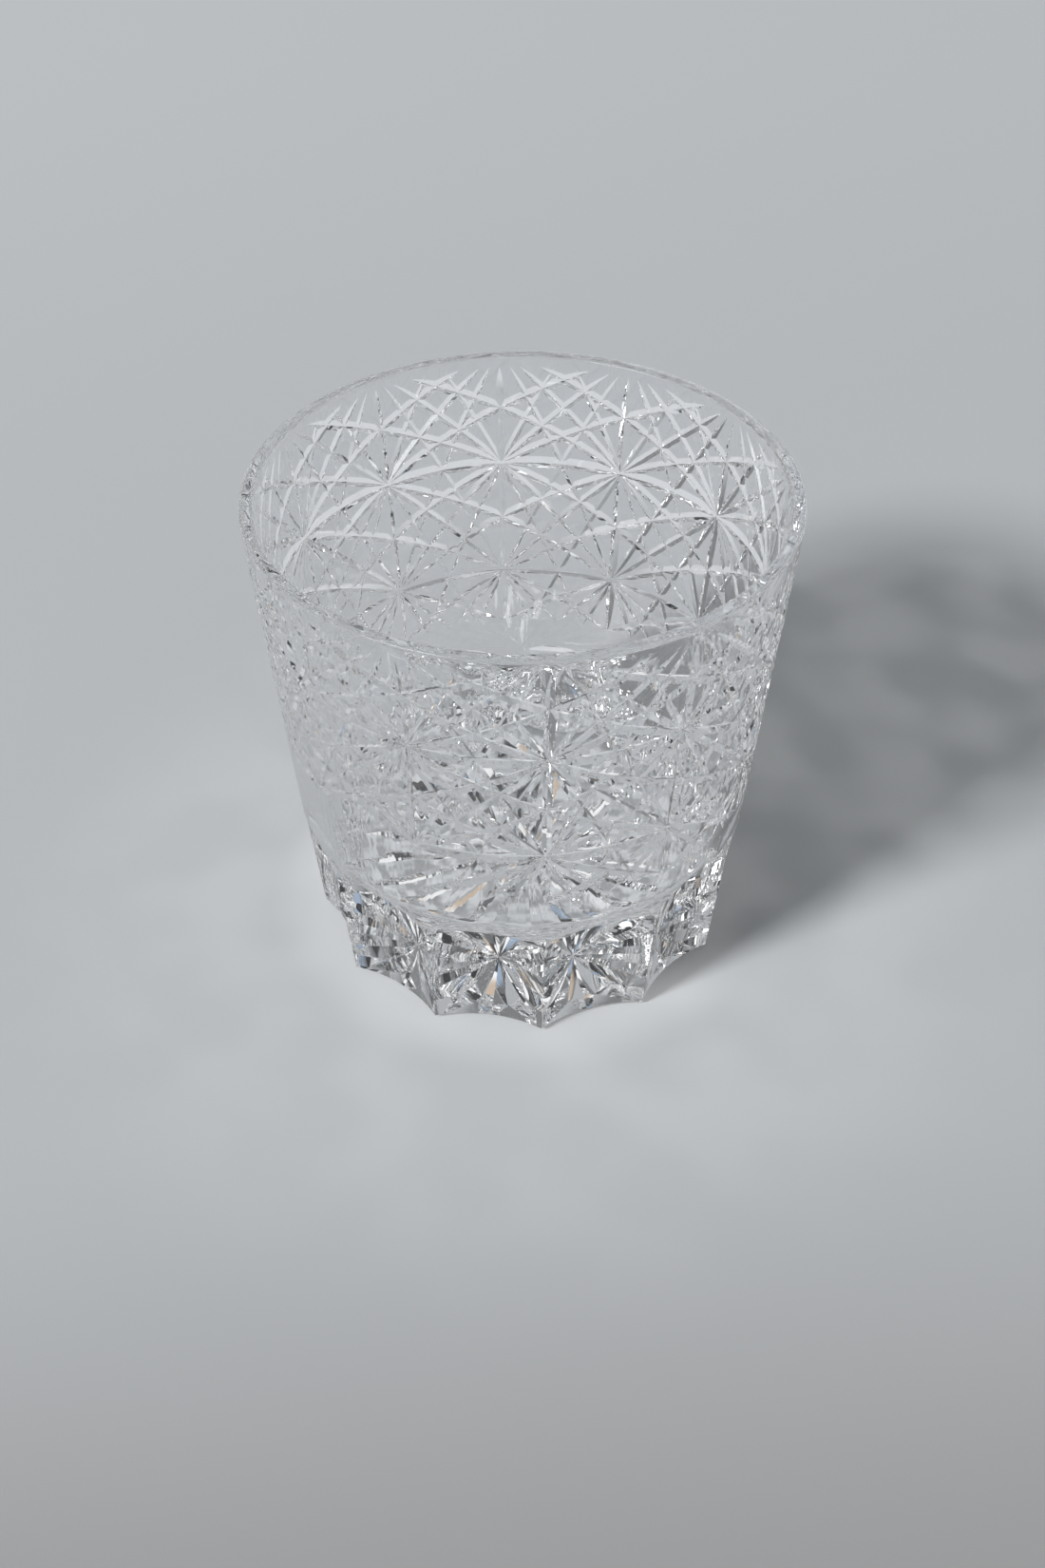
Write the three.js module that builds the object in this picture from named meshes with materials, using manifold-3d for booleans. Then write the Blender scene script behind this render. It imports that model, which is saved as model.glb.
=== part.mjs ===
// Cut-glass rocks tumbler, in millimetres, +Z up, standing on z = 0 with column 0 facing -Y.
// One blown body, ground with a wheel: twelve flutes round the foot, a lattice of V cuts that
// meet in stars on the wall, and a star of V cuts under the base.
import * as THREE from 'three';
import { mergeVertices } from 'three/addons/utils/BufferGeometryUtils.js';
import Module from 'manifold-3d';

// Body
const HEIGHT = 84.4;
const RIM_RADIUS = 44;
const FOOT_RADIUS = 35.2;
const RIM_THICKNESS = 2.3;
const RIM_EDGE_RADIUS = 0.6;
const FLOOR_Z = 19;
const FLOOR_WALL = 4.4;
const FLOOR_CORNER_RADIUS = 8;

// Columns of the cut pattern, straight sides per column of the round body, half-steps of its arcs
const COLUMNS = 12;
const SIDES_PER_COLUMN = 4;
const ARC_STEPS = 2;

// Wall lattice: stars stand at every column on two rows, with half stars at the rim
const UPPER_STAR_Z = 64.1;
const ROW_PITCH = 20.8;
const STAR_ROWS = 2;
const PLAIN_LIP = 2.8;
const RAY_BELOW_LAST_ROW = 10.5;
const RING_CUT_WIDTH = 2.0;
const UPRIGHT_CUT_WIDTH = 1.6;
const DIAGONAL_CUT_WIDTH = 1.3;
const CUT_RUN_OUT = 6;
const CUT_HALF_ANGLE = THREE.MathUtils.degToRad(60);
const CUT_CLEARANCE = 0.5;
const CUT_END_LIFT = 0.02;
const STATION_SPACING = 0.5;
// Columns that a diagonal moves on by in each row
const DIAGONAL_SLOPE = 1;

// Plain window in the lower left wall, between two columns counted from the front
const WINDOW_FIRST_COLUMN = -3;
const WINDOW_LAST_COLUMN = -1;

// Foot flutes, ground by a wheel with a rounded edge, and the bevel round their lower edge
const FLUTE_WHEEL_RADIUS = 25.5;
const FLUTE_EDGE_RADIUS = 7.4;
const FLUTE_DEPTH = 3.1;
const FLUTE_TOP_Z = 28;
const FOOT_BEVEL = 1.0;
const FLUTE_WHEEL_SIDES = 64;
const FLUTE_EDGE_STEPS = 4;

// Star under the base
const BASE_STAR_RAYS = 24;
const BASE_STAR_RADIUS = 32.5;
const BASE_STAR_RUN_OUT = 8.5;
const BASE_STAR_DEPTH = 1.6;
const BASE_STAR_HALF_ANGLE = THREE.MathUtils.degToRad(62);

// Slack in radians for finding the side that an angle falls on, and distance at which points merge
const SIDE_SLACK = 1e-9;
const MERGE_DISTANCE = 1e-4;

const wasm = await Module();
wasm.setup();

const COLUMN_ANGLE = (2 * Math.PI) / COLUMNS;
const SIDE_ANGLE = COLUMN_ANGLE / SIDES_PER_COLUMN;
const WALL_SLOPE = (RIM_RADIUS - FOOT_RADIUS) / HEIGHT;
const WALL_LEAN = Math.atan(WALL_SLOPE);

// Radius of the outer wall's corners at a height
function wallRadius(z) {
  return FOOT_RADIUS + WALL_SLOPE * z;
}

// Inner wall line, from the rim's thickness down to the wall beside the floor
function innerRadius(z) {
  const rimInner = RIM_RADIUS - RIM_THICKNESS;
  const floorInner = wallRadius(FLOOR_Z) - FLOOR_WALL;
  return THREE.MathUtils.mapLinear(z, FLOOR_Z, HEIGHT, floorInner, rimInner);
}

// Point on the many-sided outer wall at an angle and a height
function wallPoint(angle, z) {
  const offset = angle - SIDE_ANGLE * (Math.floor(angle / SIDE_ANGLE + SIDE_SLACK) + 0.5);
  const radius = (wallRadius(z) * Math.cos(SIDE_ANGLE / 2)) / Math.cos(offset);
  return new THREE.Vector3(radius * Math.sin(angle), -radius * Math.cos(angle), z);
}

function wallNormal(angle) {
  const out = Math.cos(WALL_LEAN);
  return new THREE.Vector3(out * Math.sin(angle), -out * Math.cos(angle), -Math.sin(WALL_LEAN));
}

function solidFrom(geometry) {
  geometry.deleteAttribute('normal');
  geometry.deleteAttribute('uv');
  const merged = mergeVertices(geometry, MERGE_DISTANCE);
  const mesh = new wasm.Mesh({
    numProp: 3,
    vertProperties: new Float32Array(merged.attributes.position.array),
    triVerts: new Uint32Array(merged.index.array),
  });
  return new wasm.Manifold(mesh);
}

function geometryFrom(solid) {
  const mesh = solid.getMesh();
  const geometry = new THREE.BufferGeometry();
  geometry.setAttribute('position', new THREE.BufferAttribute(mesh.vertProperties, 3));
  geometry.setIndex(new THREE.BufferAttribute(mesh.triVerts, 1));
  geometry.computeVertexNormals();
  return geometry;
}

// Revolve a closed profile about Z, with its first corner at -Y
function revolve(profile, sides) {
  return new THREE.LatheGeometry(profile, sides).rotateX(Math.PI / 2);
}

// Outer foot, wall, flat rim with rounded edges, inner wall, rounded floor corner, floor
function bodyProfile() {
  const rimZ = HEIGHT - RIM_EDGE_RADIUS;
  const rimInner = RIM_RADIUS - RIM_THICKNESS;
  const cornerZ = FLOOR_Z + FLOOR_CORNER_RADIUS;
  const cornerX = innerRadius(cornerZ) - FLOOR_CORNER_RADIUS;
  const path = new THREE.Path();
  path.moveTo(0, 0);
  path.lineTo(FOOT_RADIUS, 0);
  path.lineTo(RIM_RADIUS, rimZ);
  path.absarc(RIM_RADIUS - RIM_EDGE_RADIUS, rimZ, RIM_EDGE_RADIUS, 0, Math.PI / 2, false);
  path.absarc(rimInner + RIM_EDGE_RADIUS, rimZ, RIM_EDGE_RADIUS, Math.PI / 2, Math.PI, false);
  path.absarc(cornerX, cornerZ, FLOOR_CORNER_RADIUS, 0, -Math.PI / 2, true);
  path.lineTo(0, FLOOR_Z);
  return path.getPoints(ARC_STEPS);
}

// V-shaped cutter along stations of {point, normal, depth}: the valley lies below the surface by
// the depth, and the two lips stand clear above it
function grooveCutter(stations, halfAngle, closed) {
  const count = stations.length;
  const spread = Math.tan(halfAngle);
  const positions = [];
  stations.forEach((station, i) => {
    const before = stations[closed ? (i + count - 1) % count : Math.max(i - 1, 0)];
    const after = stations[closed ? (i + 1) % count : Math.min(i + 1, count - 1)];
    const along = after.point.clone().sub(before.point);
    const side = along.cross(station.normal).normalize();
    const valley = station.point.clone().addScaledVector(station.normal, -station.depth);
    const middle = station.point.clone().addScaledVector(station.normal, CUT_CLEARANCE);
    const half = Math.max(spread * (station.depth + CUT_CLEARANCE), CUT_CLEARANCE);
    const left = middle.clone().addScaledVector(side, -half);
    const right = middle.addScaledVector(side, half);
    positions.push(...valley, ...left, ...right);
  });
  const index = [];
  const links = closed ? count : count - 1;
  for (let i = 0; i < links; i += 1) {
    const a = 3 * i;
    const b = 3 * ((i + 1) % count);
    for (let k = 0; k < 3; k += 1) {
      const next = (k + 1) % 3;
      index.push(a + k, b + next, b + k, a + k, a + next, b + next);
    }
  }
  if (!closed) {
    const last = 3 * (count - 1);
    index.push(0, 2, 1, last, last + 1, last + 2);
  }
  const geometry = new THREE.BufferGeometry();
  geometry.setAttribute('position', new THREE.BufferAttribute(new Float32Array(positions), 3));
  geometry.setIndex(index);
  return solidFrom(geometry);
}

// Depth of a wall cut that is this wide at the surface
function cutDepth(width) {
  return width / 2 / Math.tan(CUT_HALF_ANGLE);
}

function rowHeight(row) {
  return UPPER_STAR_Z - ROW_PITCH * (row - 1);
}

// Lowest row that a cut reaches at a column: inside the plain window the lowest stars are half stars
function lastRow(column) {
  const fromWindow = THREE.MathUtils.euclideanModulo(column - WINDOW_FIRST_COLUMN, COLUMNS);
  const plain = fromWindow <= WINDOW_LAST_COLUMN - WINDOW_FIRST_COLUMN;
  return plain ? STAR_ROWS : STAR_ROWS + RAY_BELOW_LAST_ROW / ROW_PITCH;
}

// One place along a cut on the wall, with the depth there
function wallStation(column, row, depth) {
  const angle = column * COLUMN_ANGLE;
  return { point: wallPoint(angle, rowHeight(row)), normal: wallNormal(angle), depth };
}

// Rows at which a line of the unrolled wall crosses the body's corners
function cornerRows(columnAt, slope, firstRow, endRow) {
  const rows = [];
  if (slope !== 0) {
    const ends = [columnAt(firstRow) * SIDES_PER_COLUMN, columnAt(endRow) * SIDES_PER_COLUMN];
    for (let corner = Math.ceil(Math.min(...ends)); corner <= Math.max(...ends); corner += 1) {
      rows.push(1 + (corner / SIDES_PER_COLUMN - columnAt(1)) / slope);
    }
  }
  return rows;
}

// Cut along a straight line of the unrolled wall, from the lip down, through a column on row 1,
// moving on by slope columns in each row and running out at both ends
function slantedCut(column, slope, width) {
  const columnAt = (row) => column + slope * (row - 1);
  const firstRow = 1 + (UPPER_STAR_Z - HEIGHT + PLAIN_LIP) / ROW_PITCH;
  const endRow = lastRow(columnAt(STAR_ROWS));
  const rowLength = Math.hypot(ROW_PITCH, slope * COLUMN_ANGLE * wallRadius(UPPER_STAR_Z));
  const runOut = CUT_RUN_OUT / rowLength;
  const rows = [firstRow, firstRow + runOut, endRow - runOut, endRow];
  for (const row of cornerRows(columnAt, slope, firstRow, endRow)) {
    if (rows.every((other) => Math.abs(other - row) > STATION_SPACING / rowLength)) {
      rows.push(row);
    }
  }
  rows.sort((a, b) => a - b);
  const stations = rows.map((row) => {
    const share = Math.min(row - firstRow, endRow - row, runOut) / runOut;
    return wallStation(columnAt(row), row, cutDepth(width) * share - CUT_END_LIFT);
  });
  return grooveCutter(stations, CUT_HALF_ANGLE, false);
}

// Level cut through a row of stars: all round, or on the last row only outside the window
function ringCut(row) {
  const lastSide = COLUMNS * SIDES_PER_COLUMN;
  const whole = row < STAR_ROWS;
  const from = whole ? 0 : WINDOW_LAST_COLUMN * SIDES_PER_COLUMN;
  const to = whole ? lastSide - 1 : lastSide + WINDOW_FIRST_COLUMN * SIDES_PER_COLUMN;
  const stations = [];
  for (let side = from; side <= to; side += 1) {
    const atEnd = !whole && (side === from || side === to);
    const depth = atEnd ? -CUT_END_LIFT : cutDepth(RING_CUT_WIDTH);
    stations.push(wallStation(side / SIDES_PER_COLUMN, row, depth));
  }
  return grooveCutter(stations, CUT_HALF_ANGLE, whole);
}

function wallCuts() {
  const cuts = [];
  for (let row = 1; row <= STAR_ROWS; row += 1) {
    cuts.push(ringCut(row));
  }
  for (let column = 0; column < COLUMNS; column += 1) {
    cuts.push(slantedCut(column, 0, UPRIGHT_CUT_WIDTH));
    cuts.push(slantedCut(column, DIAGONAL_SLOPE, DIAGONAL_CUT_WIDTH));
    cuts.push(slantedCut(column, -DIAGONAL_SLOPE, DIAGONAL_CUT_WIDTH));
  }
  return cuts;
}

// Grinding wheel at the front flute, its axis leaning with the wall and its edge rounded, with a
// flare at the bottom that bevels the foot
function fluteWheel() {
  const path = new THREE.Path();
  const edgeZ = FLUTE_TOP_Z - Math.sqrt(FLUTE_EDGE_RADIUS ** 2 - (FLUTE_EDGE_RADIUS - FLUTE_DEPTH) ** 2);
  path.moveTo(0, -FOOT_BEVEL);
  path.lineTo(FLUTE_WHEEL_RADIUS + 2 * FOOT_BEVEL, -FOOT_BEVEL);
  path.lineTo(FLUTE_WHEEL_RADIUS, FOOT_BEVEL);
  const middle = FLUTE_WHEEL_RADIUS - FLUTE_EDGE_RADIUS;
  path.absarc(middle, edgeZ, FLUTE_EDGE_RADIUS, 0, Math.PI / 2, false);
  path.lineTo(0, edgeZ + FLUTE_EDGE_RADIUS);
  const wheel = revolve(path.getPoints(FLUTE_EDGE_STEPS), FLUTE_WHEEL_SIDES);
  wheel.translate(0, -FLUTE_WHEEL_RADIUS, 0);
  wheel.rotateX(WALL_LEAN);
  wheel.translate(0, -FOOT_RADIUS + FLUTE_DEPTH, 0);
  return wheel;
}

function fluteCuts() {
  const cuts = [];
  for (let k = 0; k < COLUMNS; k += 1) {
    cuts.push(solidFrom(fluteWheel().rotateZ((k + 0.5) * COLUMN_ANGLE)));
  }
  return cuts;
}

// Rays under the base, level from the middle and running out near the foot
function baseStarCuts() {
  const cuts = [];
  for (let k = 0; k < BASE_STAR_RAYS; k += 1) {
    const angle = (k * 2 * Math.PI) / BASE_STAR_RAYS;
    const outward = new THREE.Vector3(Math.sin(angle), -Math.cos(angle), 0);
    const normal = new THREE.Vector3(0, 0, -1);
    const station = (radius, depth) => ({ point: outward.clone().multiplyScalar(radius), normal, depth });
    const stations = [
      station(0, BASE_STAR_DEPTH),
      station(BASE_STAR_RADIUS - BASE_STAR_RUN_OUT, BASE_STAR_DEPTH),
      station(BASE_STAR_RADIUS, -CUT_END_LIFT),
    ];
    cuts.push(grooveCutter(stations, BASE_STAR_HALF_ANGLE, false));
  }
  return cuts;
}

function tumbler() {
  let solid = solidFrom(revolve(bodyProfile(), COLUMNS * SIDES_PER_COLUMN));
  const cuts = [...fluteCuts(), ...wallCuts(), ...baseStarCuts()];
  solid = solid.subtract(wasm.Manifold.union(cuts));
  const glass = new THREE.MeshStandardMaterial({ color: 0xdfe6e8, roughness: 0.03, metalness: 0 });
  const mesh = new THREE.Mesh(geometryFrom(solid), glass);
  mesh.name = 'tumbler';
  return mesh;
}

const group = new THREE.Group();
group.add(tumbler());
export default group;
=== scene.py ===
import math

import bpy
from mathutils import Matrix, Vector


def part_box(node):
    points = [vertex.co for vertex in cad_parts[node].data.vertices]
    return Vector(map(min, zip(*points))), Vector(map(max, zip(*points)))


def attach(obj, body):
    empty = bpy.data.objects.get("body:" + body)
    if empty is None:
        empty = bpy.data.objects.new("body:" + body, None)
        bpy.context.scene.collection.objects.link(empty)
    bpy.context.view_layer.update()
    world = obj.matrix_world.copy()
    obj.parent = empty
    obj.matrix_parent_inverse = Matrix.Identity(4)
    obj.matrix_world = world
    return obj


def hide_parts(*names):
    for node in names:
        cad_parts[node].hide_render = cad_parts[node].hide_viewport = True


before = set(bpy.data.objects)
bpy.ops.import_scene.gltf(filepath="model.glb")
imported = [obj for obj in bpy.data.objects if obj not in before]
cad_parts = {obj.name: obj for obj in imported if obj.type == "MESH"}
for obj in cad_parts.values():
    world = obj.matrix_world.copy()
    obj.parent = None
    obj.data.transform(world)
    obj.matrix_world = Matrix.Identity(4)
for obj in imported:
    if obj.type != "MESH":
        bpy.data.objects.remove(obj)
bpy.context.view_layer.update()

# Sizes are in millimetres, as the glass is measured, and the finished mesh is scaled to metres.
MM = 0.001
UPPER_CORNER = Vector(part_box("tumbler")[1]) / MM
HEIGHT = UPPER_CORNER.z
RIM_RADIUS = UPPER_CORNER.x
FOOT_RADIUS = 35.2
RIM_THICKNESS = 2.3
RIM_EDGE_RADIUS = 0.6
RIM_STEPS = 6
FLOOR_Z = 19.0
FLOOR_WALL = 4.4
FLOOR_CORNER_RADIUS = 8.0

COLUMNS = 12
SIDES_PER_COLUMN = 12
ARC_STEPS = 12

# Wall lattice: stars stand at every column on two rows, with half stars at the rim.
UPPER_STAR_Z = 64.1
ROW_PITCH = 20.8
STAR_ROWS = 2
PLAIN_LIP = 2.8
RAY_BELOW_LAST_ROW = 10.5
CUT_RUN_OUT = 6.0
CUT_END_LIFT = 0.02
STATION_SPACING = 0.5
# Width of each cut at the surface, and half the angle of the wheel's V edge.
RING_WIDTH = 2.0
UPRIGHT_WIDTH = 1.6
CUT_HALF_ANGLE = math.radians(60)
CUT_CLEARANCE = 0.5
RUN_OUT_STEPS = 4
# Columns that each family of diagonals moves on by in a row, the pitch of its lines in columns, and
# the width of its cuts.
DIAGONALS = ((2.0, 1.0, 1.6), (1.0, 1.0, 1.3), (0.5, 0.5, 1.1))
WINDOW_FIRST_COLUMN = -3
WINDOW_LAST_COLUMN = -1

# Foot flutes, ground by a wheel with a rounded edge, and the bevel round their lower edge.
FLUTE_WHEEL_RADIUS = 25.5
FLUTE_EDGE_RADIUS = 7.4
FLUTE_DEPTH = 3.1
FLUTE_TOP_Z = 28.0
FLUTE_WHEEL_SIDES = 192
FOOT_BEVEL = 1.0

BASE_STAR_RAYS = 24
BASE_STAR_RADIUS = 32.5
BASE_STAR_DEPTH = 1.6
# Radii between which each ray keeps its depth. It starts past the axis, so that the rays cross.
BASE_STAR_INNER = -2.0
BASE_STAR_FULL = 24.0
BASE_STAR_HALF_ANGLE = math.radians(62)

# Edges between faces that meet at more than this angle stay sharp.
SHARP_ANGLE = math.radians(20)

# Camera of the photograph, round the axis of the glass.
IMAGE_WIDTH = 1100
FOCAL_PIXELS = 2335
SENSOR_WIDTH = 24.0
CAMERA_DISTANCE = 382.3
CAMERA_ELEVATION = math.radians(40.2)
CAMERA_TURN = math.radians(-5.26)
TARGET_Z = 24.9

# Crystal
CRYSTAL_IOR = 1.53
CRYSTAL_COOL = (0.980, 0.988, 0.992, 1)
CRYSTAL_CLEAR = (0.992, 0.996, 0.998, 1)
WAVE_SCALE = 90.0
WAVE_HEIGHT = 0.05

# Key lamp, far off to the front left, in metres.
KEY_PLACE = (-3.6, -2.55, 3.45)
KEY_TARGET = (0, 0, 0.03)
KEY_SIZE = 1.2
KEY_POWER = 278

# Table colour, with painted shade that darkens it in front and painted light that pales it towards
# the back.
TABLE_FRONT_PAINTED_SHADE = (0.325, 0.324, 0.328, 1)
TABLE_COLOUR = (0.487, 0.506, 0.525, 1)
TABLE_BACK_PAINTED_LIGHT = (0.54, 0.56, 0.578, 1)
# Painted brightness of the table as the glass shows it, an emission sheet with painted light and
# shade: near, painted lighter far off, in a painted shadow and under the foot.
SEEN_NEAR = (0.43, 0.443, 0.46, 1)
SEEN_MIDDLE = (0.47, 0.485, 0.505, 1)
SEEN_FAR = (0.67, 0.685, 0.71, 1)
SEEN_SHADOW = (0.185, 0.19, 0.196, 1)
SEEN_UNDER_DARK = (0.31, 0.318, 0.33, 1)
SEEN_UNDER_LIGHT = (0.63, 0.643, 0.667, 1)

TABLE_ROUGHNESS = 0.6
TABLE_HALF_SIZE = 30000.0
TABLE_GAP = 0.05
# Distances in millimetres between which one look of the table gives way to the next, with its
# painted shade and painted light: along Y at the front, far in front and at the back, and out from
# the axis for the rest.
FRONT_FADE = (-160.0, -45.0)
FAR_FRONT_FADE = (-150.0, -500.0)
BACK_FADE = (80.0, 450.0)
UNDER_FADE = (34.0, 30.0)
MIDDLE_FADE = (60.0, 90.0)
FAR_FADE = (180.0, 210.0)
BACKDROP_FADE = (800.0, 2400.0)
# Painted shadow, shaped as the key lamp's shadow: where its middle line starts, and how far it
# reaches to the sides of that line.
SHADOW_START = 30.0
SHADOW_FADE = (48.0, 34.0)
SHADOW_CORE_FADE = (34.0, 26.0)
SHADOW_CORE_START_FADE = (65.0, 80.0)
# Painted light, an emission of the table standing in for the light that the glass throws on it:
# broad, close to the foot and inside the shadow, with painted caustic spots and patches where the
# glass shows the shadow and the foot.
GLOW_FADE = (105.0, 34.0)
GLOW_STRENGTH = 0.085
GLOW_STEADY = 0.7
GLOW_RIPPLE = 0.5
EDGE_GLOW_FADE = (46.0, 34.0)
EDGE_GLOW_STRENGTH = 0.12
SHADOW_GLOW_STRENGTH = 0.05
RIPPLE_SCALE = 45
RIPPLE_FADE = (0.35, 0.65)
CAUSTIC_SEEN = (1.0, 1.0, 1.0, 1)
CAUSTIC_SCALE = 130
CAUSTIC_FADE = (0.40, 0.20)
UNDER_CAUSTIC_SCALE = 300
UNDER_CAUSTIC_FADE = (0.38, 0.62)

# What the glass sees of the room: a dim back, a pale side behind the camera and a ceiling, broken up
# into soft-edged panels, some lit and some black.
ROOM_BACK = (0.14, 0.143, 0.147, 1)
ROOM_FRONT = (0.84, 0.86, 0.87, 1)
ROOM_CEILING = (0.36, 0.37, 0.38, 1)
PANEL_LIT = (1.0, 1.0, 1.0, 1)
PANEL_BLACK = (0.02, 0.02, 0.022, 1)
PANEL_SCALE = 4.6
PANEL_SOFTNESS = 0.35
# Chances of a panel between which it turns lit, and black.
LIT_FADE = (0.76, 0.86)
BLACK_FADE = (0.56, 0.46)
# Direction in which the front of the room gives way to the back, and its walls to the ceiling.
ROOM_BACK_FADE = (-0.3, 0.3)
CEILING_FADE = (0.65, 0.85)
# Key lamp in the room: cosines where its edge starts and is full, and its brightness through the
# glass and mirrored by it.
KEY_EDGE = (0.957, 0.968)
KEY_SEEN = (2.2, 2.2, 2.2, 1)
KEY_MIRRORED = (4.5, 4.5, 4.5, 1)
# Tinted lamps at the back of the room: direction, cosines of the edge, and colour.
ROOM_LAMPS = (
    ((-0.35, 0.9, 0.55), (0.975, 0.998), (0.62, 0.49, 0.37, 1)),
    ((0.35, 0.9, 0.75), (0.975, 0.998), (0.34, 0.43, 0.56, 1)),
)
# Plain light of the room on matt surfaces, and the plain backdrop.
ROOM_LIGHT = (0.415, 0.42, 0.42, 1)
BACKDROP = (0.60, 0.62, 0.63, 1)

COLUMN_ANGLE = 2 * math.pi / COLUMNS
SIDE_ANGLE = COLUMN_ANGLE / SIDES_PER_COLUMN
WALL_SLOPE = (RIM_RADIUS - FOOT_RADIUS) / HEIGHT
WALL_LEAN = math.atan(WALL_SLOPE)


def wall_radius(z):
    return FOOT_RADIUS + WALL_SLOPE * z


def inner_radius(z):
    """Inner wall line, from the wall beside the floor to the rim."""
    share = (z - FLOOR_Z) / (HEIGHT - FLOOR_Z)
    floor_inner = wall_radius(FLOOR_Z) - FLOOR_WALL
    return floor_inner + share * (RIM_RADIUS - RIM_THICKNESS - floor_inner)


def wall_point(angle, z):
    """Point on the many-sided outer wall."""
    offset = angle - SIDE_ANGLE * (math.floor(angle / SIDE_ANGLE + 1e-9) + 0.5)
    radius = wall_radius(z) * math.cos(SIDE_ANGLE / 2) / math.cos(offset)
    return Vector((radius * math.sin(angle), -radius * math.cos(angle), z))


def wall_normal(angle):
    out = math.cos(WALL_LEAN)
    return Vector((out * math.sin(angle), -out * math.cos(angle), -math.sin(WALL_LEAN)))


def arc(centre, radius, start, end, steps):
    """Points of an arc in the profile plane, from one angle to another."""
    angles = [start + (end - start) * i / steps for i in range(steps + 1)]
    return [(centre[0] + radius * math.cos(a), centre[1] + radius * math.sin(a)) for a in angles]


def new_object(name, parts):
    """One mesh object from several (vertices, faces) parts."""
    vertices, faces = [], []
    for part_vertices, part_faces in parts:
        start = len(vertices)
        vertices += [tuple(v) for v in part_vertices]
        faces += [[start + i for i in face] for face in part_faces]
    mesh = bpy.data.meshes.new(name)
    mesh.from_pydata(vertices, [], faces)
    thing = bpy.data.objects.new(name, mesh)
    bpy.context.scene.collection.objects.link(thing)
    return thing


def revolve(profile, sides):
    """Solid of revolution about Z of a profile that starts and ends on the axis."""
    vertices = [Vector((0, 0, profile[0][1]))]
    faces = []
    rings = profile[1:-1]
    for radius, z in rings:
        for i in range(sides):
            angle = 2 * math.pi * i / sides
            vertices.append(Vector((radius * math.sin(angle), -radius * math.cos(angle), z)))
    last = len(vertices)
    vertices.append(Vector((0, 0, profile[-1][1])))
    for i in range(sides):
        j = (i + 1) % sides
        faces.append((0, 1 + j, 1 + i))
        for k in range(len(rings) - 1):
            row, above = 1 + k * sides, 1 + (k + 1) * sides
            faces.append((row + i, row + j, above + j, above + i))
        top = last - sides
        faces.append((top + i, top + j, last))
    return vertices, faces


def body_profile():
    """Foot, outer wall, rim, inner wall, rounded floor corner and floor."""
    corner_z = FLOOR_Z + FLOOR_CORNER_RADIUS
    corner_x = inner_radius(corner_z) - FLOOR_CORNER_RADIUS
    profile = [(0, 0), (FOOT_RADIUS, 0)]
    rim_z = HEIGHT - RIM_EDGE_RADIUS
    outer_edge = RIM_RADIUS - RIM_EDGE_RADIUS
    profile += arc((outer_edge, rim_z), RIM_EDGE_RADIUS, 0, math.pi / 2, RIM_STEPS)
    inner_edge = RIM_RADIUS - RIM_THICKNESS + RIM_EDGE_RADIUS
    profile += arc((inner_edge, rim_z), RIM_EDGE_RADIUS, math.pi / 2, math.pi, RIM_STEPS)
    profile += arc((corner_x, corner_z), FLOOR_CORNER_RADIUS, 0, -math.pi / 2, ARC_STEPS)
    profile.append((0, FLOOR_Z))
    return profile


def v_section(half_angle):
    """Section of a V-edged wheel, for a given depth."""
    def section(depth):
        half = math.tan(half_angle) * (depth + CUT_CLEARANCE)
        return [(-half, CUT_CLEARANCE), (0, -depth), (half, CUT_CLEARANCE)]
    return section


def cut_depth(width):
    return width / 2 / math.tan(CUT_HALF_ANGLE)


def groove(stations, section, closed=False):
    """Cutter along stations of (point, normal, depth), with its section across the path."""
    count = len(stations)
    vertices = []
    for i, (point, normal, depth) in enumerate(stations):
        before = stations[i - 1 if closed or i else 0][0]
        after = stations[(i + 1) % count if closed else min(i + 1, count - 1)][0]
        side = normal.cross(after - before).normalized()
        corners = section(depth)
        vertices += [point + side * across + normal * out for across, out in corners]
    sides = len(corners)
    faces = []
    for i in range(count if closed else count - 1):
        a, b = sides * i, sides * ((i + 1) % count)
        for k in range(sides):
            n = (k + 1) % sides
            faces.append((a + k, a + n, b + n, b + k))
    if not closed:
        faces.append(tuple(reversed(range(sides))))
        faces.append(tuple(range(sides * (count - 1), sides * count)))
    return vertices, faces


def row_height(row):
    return UPPER_STAR_Z - ROW_PITCH * (row - 1)


def last_row(column):
    """Lowest row that a cut reaches: in the plain window the lowest stars are half stars."""
    from_window = (column - WINDOW_FIRST_COLUMN) % COLUMNS
    plain = from_window <= WINDOW_LAST_COLUMN - WINDOW_FIRST_COLUMN
    return STAR_ROWS if plain else STAR_ROWS + RAY_BELOW_LAST_ROW / ROW_PITCH


def wall_station(column, row, depth):
    angle = column * COLUMN_ANGLE
    return wall_point(angle, row_height(row)), wall_normal(angle), depth


def slanted_cut(column, slope, width):
    """Cut along a straight line of the unrolled wall, from the lip down, through a column on row
    1, moving on by slope columns in each row and running out at both ends."""
    first_row = 1 + (UPPER_STAR_Z - HEIGHT + PLAIN_LIP) / ROW_PITCH
    end_row = last_row(column + slope * (STAR_ROWS - 1))
    row_length = math.hypot(ROW_PITCH, slope * COLUMN_ANGLE * wall_radius(UPPER_STAR_Z))
    run_out = CUT_RUN_OUT / row_length
    rows = []
    for i in range(RUN_OUT_STEPS + 1):
        rows += [first_row + run_out * i / RUN_OUT_STEPS, end_row - run_out * i / RUN_OUT_STEPS]
    if slope:
        ends = [(column + slope * (row - 1)) * SIDES_PER_COLUMN for row in (first_row, end_row)]
        for corner in range(math.ceil(min(ends)), math.floor(max(ends)) + 1):
            row = 1 + (corner / SIDES_PER_COLUMN - column) / slope
            if all(abs(row - other) > STATION_SPACING / row_length for other in rows):
                rows.append(row)
    stations = []
    for row in sorted(rows):
        rise = 1 - min(row - first_row, end_row - row, run_out) / run_out
        depth = cut_depth(width) * (1 - rise ** 2) - CUT_END_LIFT
        stations.append(wall_station(column + slope * (row - 1), row, depth))
    return groove(stations, v_section(CUT_HALF_ANGLE))


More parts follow.
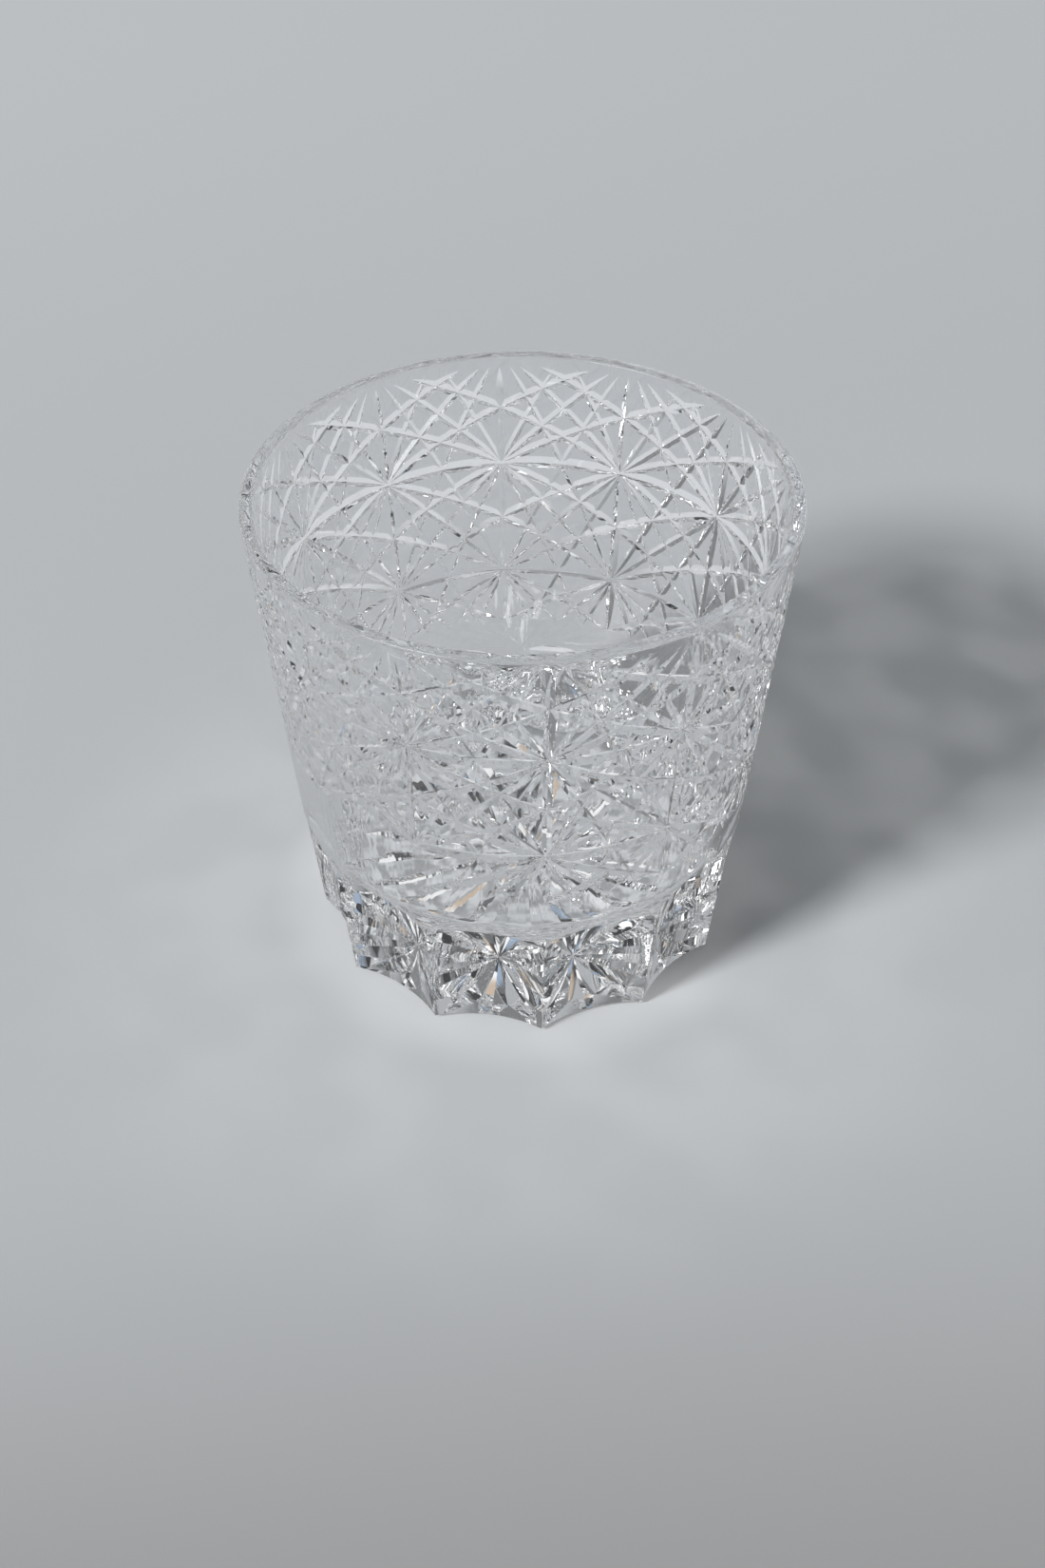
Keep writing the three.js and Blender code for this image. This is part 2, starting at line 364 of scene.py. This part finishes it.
def ring_cut(row):
    """Level cut through a row of stars: all round, or on the last row only outside the window."""
    sides = COLUMNS * SIDES_PER_COLUMN
    whole = row < STAR_ROWS
    first = 0 if whole else WINDOW_LAST_COLUMN * SIDES_PER_COLUMN
    last = sides - 1 if whole else sides + WINDOW_FIRST_COLUMN * SIDES_PER_COLUMN
    stations = []
    for side in range(first, last + 1):
        at_end = not whole and side in (first, last)
        depth = -CUT_END_LIFT if at_end else cut_depth(RING_WIDTH)
        stations.append(wall_station(side / SIDES_PER_COLUMN, row, depth))
    return groove(stations, v_section(CUT_HALF_ANGLE), whole)


def flute_wheel(place):
    """Grinding wheel at one flute, leaning with the wall, with a rounded upper edge and a flare
    at the bottom that bevels the foot."""
    edge_rise = math.sqrt(FLUTE_EDGE_RADIUS ** 2 - (FLUTE_EDGE_RADIUS - FLUTE_DEPTH) ** 2)
    edge_z = FLUTE_TOP_Z - edge_rise
    middle = FLUTE_WHEEL_RADIUS - FLUTE_EDGE_RADIUS
    profile = [(0, -FOOT_BEVEL), (FLUTE_WHEEL_RADIUS + 2 * FOOT_BEVEL, -FOOT_BEVEL)]
    profile.append((FLUTE_WHEEL_RADIUS, FOOT_BEVEL))
    profile += arc((middle, edge_z), FLUTE_EDGE_RADIUS, 0, math.pi / 2, ARC_STEPS)
    profile.append((0, edge_z + FLUTE_EDGE_RADIUS))
    vertices, faces = revolve(profile, FLUTE_WHEEL_SIDES)
    lean = Matrix.Rotation(WALL_LEAN, 4, "X")
    turn = Matrix.Rotation((place + 0.5) * COLUMN_ANGLE, 4, "Z")
    seat = Matrix.Translation((0, FLUTE_DEPTH - FOOT_RADIUS, 0))
    centre = Matrix.Translation((0, -FLUTE_WHEEL_RADIUS, 0))
    place_matrix = turn @ seat @ lean @ centre
    return [place_matrix @ v for v in vertices], faces


def base_ray(turn):
    """V cut under the base, from beyond the axis out to the foot, where it runs out."""
    angle = 2 * math.pi * turn / BASE_STAR_RAYS
    outward = Vector((math.sin(angle), -math.cos(angle), 0))
    down = Vector((0, 0, -1))
    stations = []
    for radius, share in ((BASE_STAR_INNER, 1.0), (BASE_STAR_FULL, 1.0), (BASE_STAR_RADIUS, 0.0)):
        stations.append((outward * radius, down, BASE_STAR_DEPTH * share - CUT_END_LIFT))
    return groove(stations, v_section(BASE_STAR_HALF_ANGLE))


def cut(body, parts):
    """Cuts away parts that don't touch each other."""
    cutter = new_object("cutter", parts)
    step = body.modifiers.new("cut", "BOOLEAN")
    step.operation = "DIFFERENCE"
    step.solver = "MANIFOLD"
    step.object = cutter
    graph = bpy.context.evaluated_depsgraph_get()
    mesh = bpy.data.meshes.new_from_object(body.evaluated_get(graph))
    body.modifiers.clear()
    body.data = mesh
    bpy.data.objects.remove(cutter)


def make_tumbler():
    body = new_object("cut_tumbler", [revolve(body_profile(), COLUMNS * SIDES_PER_COLUMN)])
    for parity in (0, 1):
        cut(body, [flute_wheel(place) for place in range(parity, COLUMNS, 2)])
    for ray in range(BASE_STAR_RAYS):
        cut(body, [base_ray(ray)])
    cut(body, [ring_cut(row + 1) for row in range(STAR_ROWS)])
    cut(body, [slanted_cut(column, 0, UPRIGHT_WIDTH) for column in range(COLUMNS)])
    for slope, pitch, width in DIAGONALS:
        columns = [i * pitch for i in range(round(COLUMNS / pitch))]
        for sign in (1, -1):
            cut(body, [slanted_cut(column, sign * slope, width) for column in columns])
    body.data.transform(Matrix.Scale(MM, 4))
    for polygon in body.data.polygons:
        polygon.use_smooth = True
    body.data.set_sharp_from_angle(angle=SHARP_ANGLE)
    return body


def node_math(tree, operation, first, second):
    """Math node of two inputs, each a number or another node's output."""
    node = tree.nodes.new("ShaderNodeMath")
    node.operation = operation
    for socket, value in zip(node.inputs, (first, second)):
        if isinstance(value, (int, float)):
            socket.default_value = value
        else:
            tree.links.new(value, socket)
    return node.outputs["Value"]


def node_ramp(tree, value, low, high):
    """Smooth step from 0 at low to 1 at high."""
    node = tree.nodes.new("ShaderNodeMapRange")
    node.interpolation_type = "SMOOTHSTEP"
    node.inputs["From Min"].default_value = low
    node.inputs["From Max"].default_value = high
    tree.links.new(value, node.inputs["Value"])
    return node.outputs["Result"]


def node_mix(tree, factor, first, second):
    """Colour mix of two inputs, each a colour or another node's output."""
    node = tree.nodes.new("ShaderNodeMix")
    node.data_type = "RGBA"
    tree.links.new(factor, node.inputs["Factor"])
    for name, value in (("A", first), ("B", second)):
        if isinstance(value, tuple):
            node.inputs[name].default_value = value
        else:
            tree.links.new(value, node.inputs[name])
    return node.outputs["Result"]


def crystal_material():
    """Clear glass, hardly tinted, with the faint waviness that polishing leaves."""
    material = bpy.data.materials.new("crystal")
    material.use_nodes = True
    tree = material.node_tree
    shader = tree.nodes["Principled BSDF"]
    shader.inputs["Transmission Weight"].default_value = 1.0
    shader.inputs["IOR"].default_value = CRYSTAL_IOR
    shader.inputs["Roughness"].default_value = 0.0
    place = tree.nodes.new("ShaderNodeTexCoord").outputs["Object"]
    wave = tree.nodes.new("ShaderNodeTexNoise")
    wave.inputs["Scale"].default_value = WAVE_SCALE
    wave.inputs["Detail"].default_value = 1.0
    tree.links.new(place, wave.inputs["Vector"])
    tint = node_mix(tree, wave.outputs["Fac"], CRYSTAL_COOL, CRYSTAL_CLEAR)
    tree.links.new(tint, shader.inputs["Base Color"])
    bump = tree.nodes.new("ShaderNodeBump")
    bump.inputs["Distance"].default_value = WAVE_HEIGHT * MM
    tree.links.new(wave.outputs["Fac"], bump.inputs["Height"])
    tree.links.new(bump.outputs["Normal"], shader.inputs["Normal"])
    return material


def node_vector(tree, operation, first, second):
    """Vector math node of two inputs, each a vector or another node's output."""
    node = tree.nodes.new("ShaderNodeVectorMath")
    node.operation = operation
    for socket, value in zip(node.inputs, (first, second)):
        if isinstance(value, Vector):
            socket.default_value = value
        else:
            tree.links.new(value, socket)
    return node


def node_shadow(tree, position):
    """Distance on the table from the middle line of the shadow that the key lamp throws, which
    places the painted shadow and painted light.
    """
    away = Vector((-KEY_PLACE[0], -KEY_PLACE[1], 0))
    length = HEIGHT * MM * away.length / KEY_PLACE[2]
    away.normalize()
    along = node_vector(tree, "DOT_PRODUCT", position, away).outputs["Value"]
    along = node_math(tree, "MINIMUM", node_math(tree, "MAXIMUM", along, SHADOW_START * MM), length)
    middle = node_vector(tree, "SCALE", away, Vector()).outputs["Vector"]
    tree.links.new(along, middle.node.inputs["Scale"])
    return node_vector(tree, "DISTANCE", position, middle).outputs["Value"]


def node_fade(tree, length, fade):
    """Smooth step of a length in metres between two distances in millimetres."""
    return node_ramp(tree, length, fade[0] * MM, fade[1] * MM)


def node_texture(tree, kind, position, scale):
    """Noise or Voronoi texture by place or direction."""
    node = tree.nodes.new(kind)
    node.inputs["Scale"].default_value = scale
    tree.links.new(position, node.inputs["Vector"])
    return node


def table_colour_and_painted_shade(tree, position):
    """Table colour with painted shade, darker in front of the glass, and painted light, paler behind
    it.
    """
    split = tree.nodes.new("ShaderNodeSeparateXYZ")
    tree.links.new(position, split.inputs[0])
    back_and_front = split.outputs["Y"]
    front = node_fade(tree, back_and_front, FRONT_FADE)
    front = node_math(tree, "MAXIMUM", front, node_fade(tree, back_and_front, FAR_FRONT_FADE))
    colour = node_mix(tree, front, TABLE_FRONT_PAINTED_SHADE, TABLE_COLOUR)
    return node_mix(tree, node_fade(tree, back_and_front, BACK_FADE), colour, TABLE_BACK_PAINTED_LIGHT)


def table_glow(tree, position, radius, shadow):
    """Strength of the painted light, an emission standing in for the light that the glass throws
    round its foot and into its shadow.
    """
    ripple = node_texture(tree, "ShaderNodeTexNoise", position, RIPPLE_SCALE)
    ripple.inputs["Detail"].default_value = 1.0
    streak = node_ramp(tree, ripple.outputs["Fac"], *RIPPLE_FADE)
    lit = node_math(tree, "SUBTRACT", 1.0, shadow)
    uneven = node_math(tree, "MULTIPLY", streak, GLOW_RIPPLE)
    broad = node_math(tree, "MULTIPLY", node_fade(tree, radius, GLOW_FADE), lit)
    broad = node_math(tree, "MULTIPLY", broad, node_math(tree, "ADD", GLOW_STEADY, uneven))
    close = node_math(tree, "MULTIPLY", node_fade(tree, radius, EDGE_GLOW_FADE), lit)
    inside = node_math(tree, "MULTIPLY", shadow, streak)
    glow = node_math(tree, "MULTIPLY", broad, GLOW_STRENGTH)
    glow = node_math(tree, "ADD", glow, node_math(tree, "MULTIPLY", close, EDGE_GLOW_STRENGTH))
    return node_math(tree, "ADD", glow, node_math(tree, "MULTIPLY", inside, SHADOW_GLOW_STRENGTH))


def table_in_glass(tree, position, radius, shadow_distance):
    """Colour of the table as the glass shows it, with painted light and shade: a painted shadow with
    painted caustic spots, painted light far off and painted caustic patches under the foot.
    """
    shadow = node_fade(tree, shadow_distance, SHADOW_FADE)
    core = node_fade(tree, shadow_distance, SHADOW_CORE_FADE)
    core = node_math(tree, "MULTIPLY", core, node_fade(tree, radius, SHADOW_CORE_START_FADE))
    # Painted caustic light: bright spots in the core of the painted shadow.
    caustic = node_texture(tree, "ShaderNodeTexVoronoi", position, CAUSTIC_SCALE)
    spot = node_ramp(tree, caustic.outputs["Distance"], *CAUSTIC_FADE)
    spot = node_math(tree, "MULTIPLY", core, spot)
    # Painted caustic light under the foot, in mottled patches.
    under_caustic = node_texture(tree, "ShaderNodeTexNoise", position, UNDER_CAUSTIC_SCALE)
    under_caustic_share = node_ramp(tree, under_caustic.outputs["Fac"], *UNDER_CAUSTIC_FADE)
    under = node_mix(tree, under_caustic_share, SEEN_UNDER_DARK, SEEN_UNDER_LIGHT)
    seen = node_mix(tree, node_fade(tree, radius, MIDDLE_FADE), SEEN_NEAR, SEEN_MIDDLE)
    seen = node_mix(tree, node_fade(tree, radius, FAR_FADE), seen, SEEN_FAR)
    seen = node_mix(tree, shadow, seen, node_mix(tree, spot, SEEN_SHADOW, CAUSTIC_SEEN))
    return node_mix(tree, node_fade(tree, radius, UNDER_FADE), seen, under)


def table_material():
    """Matt table with painted light round the foot, which glass shows as a glowing sheet of painted
    light and shade, and which ends in the backdrop.
    """
    material = bpy.data.materials.new("table")
    material.use_nodes = True
    tree = material.node_tree
    position = tree.nodes.new("ShaderNodeTexCoord").outputs["Object"]
    radius = node_vector(tree, "LENGTH", position, Vector()).outputs["Value"]
    shadow_distance = node_shadow(tree, position)
    shadow = node_fade(tree, shadow_distance, SHADOW_FADE)
    matt = tree.nodes["Principled BSDF"]
    matt.inputs["Roughness"].default_value = TABLE_ROUGHNESS
    matt.inputs["Specular IOR Level"].default_value = 0.0
    matt.inputs["Emission Color"].default_value = (1, 1, 1, 1)
    # Base colour with painted shade in front and painted light at the back.
    tree.links.new(table_colour_and_painted_shade(tree, position), matt.inputs["Base Color"])
    # Painted light: the table glows round the foot and inside the shadow.
    glow = table_glow(tree, position, radius, shadow)
    tree.links.new(glow, matt.inputs["Emission Strength"])
    far = node_fade(tree, radius, BACKDROP_FADE)
    # Painted light and shade of the table as the glass shows it.
    seen = table_in_glass(tree, position, radius, shadow_distance)
    sheet = tree.nodes.new("ShaderNodeEmission")
    tree.links.new(node_mix(tree, far, seen, BACKDROP), sheet.inputs["Color"])
    both = tree.nodes.new("ShaderNodeMixShader")
    in_glass = node_seen_in_glass(tree)
    tree.links.new(node_math(tree, "MAXIMUM", in_glass, far), both.inputs[0])
    tree.links.new(matt.outputs[0], both.inputs[1])
    tree.links.new(sheet.outputs[0], both.inputs[2])
    tree.links.new(both.outputs[0], tree.nodes["Material Output"].inputs["Surface"])
    return material


def node_seen_in_glass(tree):
    """1 for what is seen in or through the glass, and 0 for what is seen directly."""
    path = tree.nodes.new("ShaderNodeLightPath").outputs
    return node_math(tree, "MAXIMUM", path["Is Transmission Ray"], path["Is Glossy Ray"])


def make_floor():
    half, z = TABLE_HALF_SIZE, -TABLE_GAP
    corners = [(-half, -half, z), (half, -half, z), (half, half, z), (-half, half, z)]
    table = new_object("table", [(corners, [(0, 1, 2, 3)])])
    table.data.transform(Matrix.Scale(MM, 4))
    table.data.materials.append(table_material())


def make_key_light():
    """Large soft lamp. The glass shows it as a patch of the world, which has less noise."""
    lamp = bpy.data.lights.new("key", "AREA")
    lamp.shape = "DISK"
    lamp.size = KEY_SIZE
    lamp.energy = KEY_POWER
    light = bpy.data.objects.new("key", lamp)
    light.visible_glossy = False
    light.visible_transmission = False
    light.location = KEY_PLACE
    toward = Vector(KEY_TARGET) - Vector(KEY_PLACE)
    light.rotation_euler = toward.to_track_quat("-Z", "Y").to_euler()
    bpy.context.scene.collection.objects.link(light)


def room_colour(tree):
    """Room that the glass shows, by direction."""
    direction = tree.nodes.new("ShaderNodeTexCoord").outputs["Generated"]
    split = tree.nodes.new("ShaderNodeSeparateXYZ")
    tree.links.new(direction, split.inputs[0])
    back = node_ramp(tree, split.outputs["Y"], *ROOM_BACK_FADE)
    room = node_mix(tree, back, ROOM_FRONT, ROOM_BACK)
    room = node_mix(tree, node_ramp(tree, split.outputs["Z"], *CEILING_FADE), room, ROOM_CEILING)
    panels = node_texture(tree, "ShaderNodeTexVoronoi", direction, PANEL_SCALE)
    panels.feature = "SMOOTH_F1"
    panels.inputs["Smoothness"].default_value = PANEL_SOFTNESS
    chances = tree.nodes.new("ShaderNodeSeparateColor")
    tree.links.new(panels.outputs["Color"], chances.inputs[0])
    room = node_mix(tree, node_ramp(tree, chances.outputs[0], *LIT_FADE), room, PANEL_LIT)
    room = node_mix(tree, node_ramp(tree, chances.outputs[0], *BLACK_FADE), room, PANEL_BLACK)
    path = tree.nodes.new("ShaderNodeLightPath")
    key = node_mix(tree, path.outputs["Is Glossy Ray"], KEY_SEEN, KEY_MIRRORED)
    for toward, edge, colour in ROOM_LAMPS + ((KEY_PLACE, KEY_EDGE, key),):
        toward = Vector(toward).normalized()
        facing = node_vector(tree, "DOT_PRODUCT", direction, toward).outputs["Value"]
        room = node_mix(tree, node_ramp(tree, facing, *edge), room, colour)
    return room


def make_world():
    """Room for the glass to show, plain light for matt surfaces and a plain backdrop."""
    world = bpy.data.worlds.new("studio")
    bpy.context.scene.world = world
    world.use_nodes = True
    tree = world.node_tree
    light = node_mix(tree, node_seen_in_glass(tree), ROOM_LIGHT, room_colour(tree))
    path = tree.nodes.new("ShaderNodeLightPath")
    light = node_mix(tree, path.outputs["Is Camera Ray"], light, BACKDROP)
    tree.links.new(light, tree.nodes["Background"].inputs["Color"])


def make_camera():
    data = bpy.data.cameras.new("photo_camera")
    data.sensor_fit = "HORIZONTAL"
    data.sensor_width = SENSOR_WIDTH
    data.lens = SENSOR_WIDTH * FOCAL_PIXELS / IMAGE_WIDTH
    data.clip_start = 0.01
    camera = bpy.data.objects.new("photo_camera", data)
    reach = CAMERA_DISTANCE * math.cos(CAMERA_ELEVATION)
    rise = CAMERA_DISTANCE * math.sin(CAMERA_ELEVATION)
    target = Vector((0, 0, TARGET_Z))
    place = target + Vector((reach * math.sin(CAMERA_TURN), -reach * math.cos(CAMERA_TURN), rise))
    camera.location = place * MM
    camera.rotation_euler = (target - place).to_track_quat("-Z", "Y").to_euler()
    bpy.context.scene.collection.objects.link(camera)
    bpy.context.scene.camera = camera


LIGHT_BOUNCES = 32

make_camera()
tumbler = make_tumbler()
tumbler.data.materials.clear()
tumbler.data.materials.append(crystal_material())
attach(tumbler, "root")
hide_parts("tumbler")
make_floor()
make_world()
make_key_light()
bpy.context.scene.view_settings.view_transform = "Standard"
bpy.context.scene.cycles.max_bounces = LIGHT_BOUNCES
bpy.context.scene.cycles.transmission_bounces = LIGHT_BOUNCES
bpy.context.scene.cycles.glossy_bounces = LIGHT_BOUNCES
